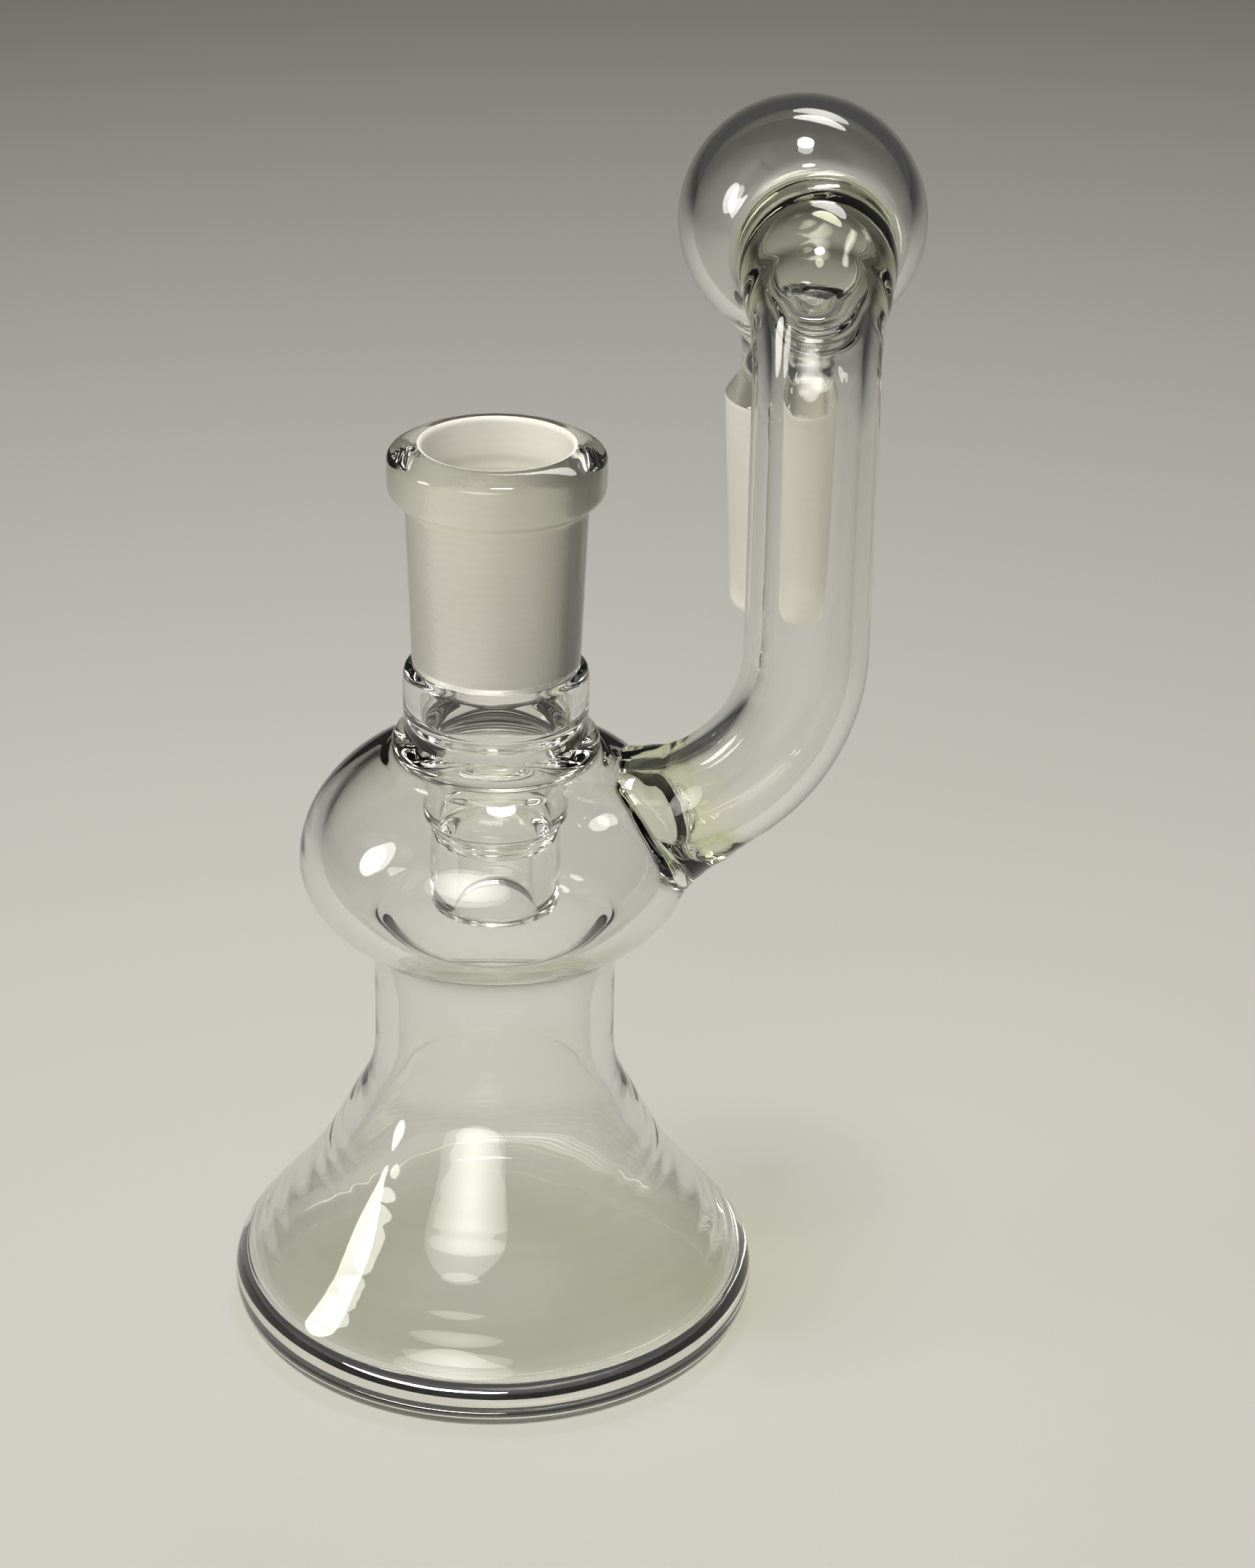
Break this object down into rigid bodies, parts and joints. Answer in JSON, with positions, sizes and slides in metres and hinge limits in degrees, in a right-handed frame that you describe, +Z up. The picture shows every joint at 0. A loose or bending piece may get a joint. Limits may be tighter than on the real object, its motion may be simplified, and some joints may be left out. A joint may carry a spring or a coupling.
{
  "type": "s bend airlock",
  "caption": "Lampworked clear glass trap: ground socket over a squat bulb and flared flask, with a side arm up to a splash bulb and a ground cone.",
  "frame": {"origin": "centre of the foot's flat underside, on the flask's axis", "axes": "+Z up along the flask's axis, +X towards the side arm, +Y towards the splash bulb's side"},
  "size_m": [0.0694, 0.0632, 0.122],
  "materials": {
    "clear_glass": "fire-polished",
    "ground_glass": "ground matte"
  },
  "bodies": {
    "root": {"foot_disc": "clear_glass", "base_flask": "clear_glass", "waist_tube": "clear_glass", "waist_seal": "clear_glass", "bulb_shell": "clear_glass", "neck_bead": "clear_glass", "neck_collar": "clear_glass", "drop_tube_upper": "clear_glass", "drop_tube_tip": "clear_glass", "ground_socket": "ground_glass", "socket_rim": "clear_glass", "arm_seal": "clear_glass", "arm_elbow": "clear_glass", "arm_riser": "clear_glass", "arm_crook": "clear_glass", "crook_seal": "clear_glass", "splash_bulb": "clear_glass", "cone_hanger": "clear_glass", "ground_cone": "ground_glass"}
  },
  "joints": []
}
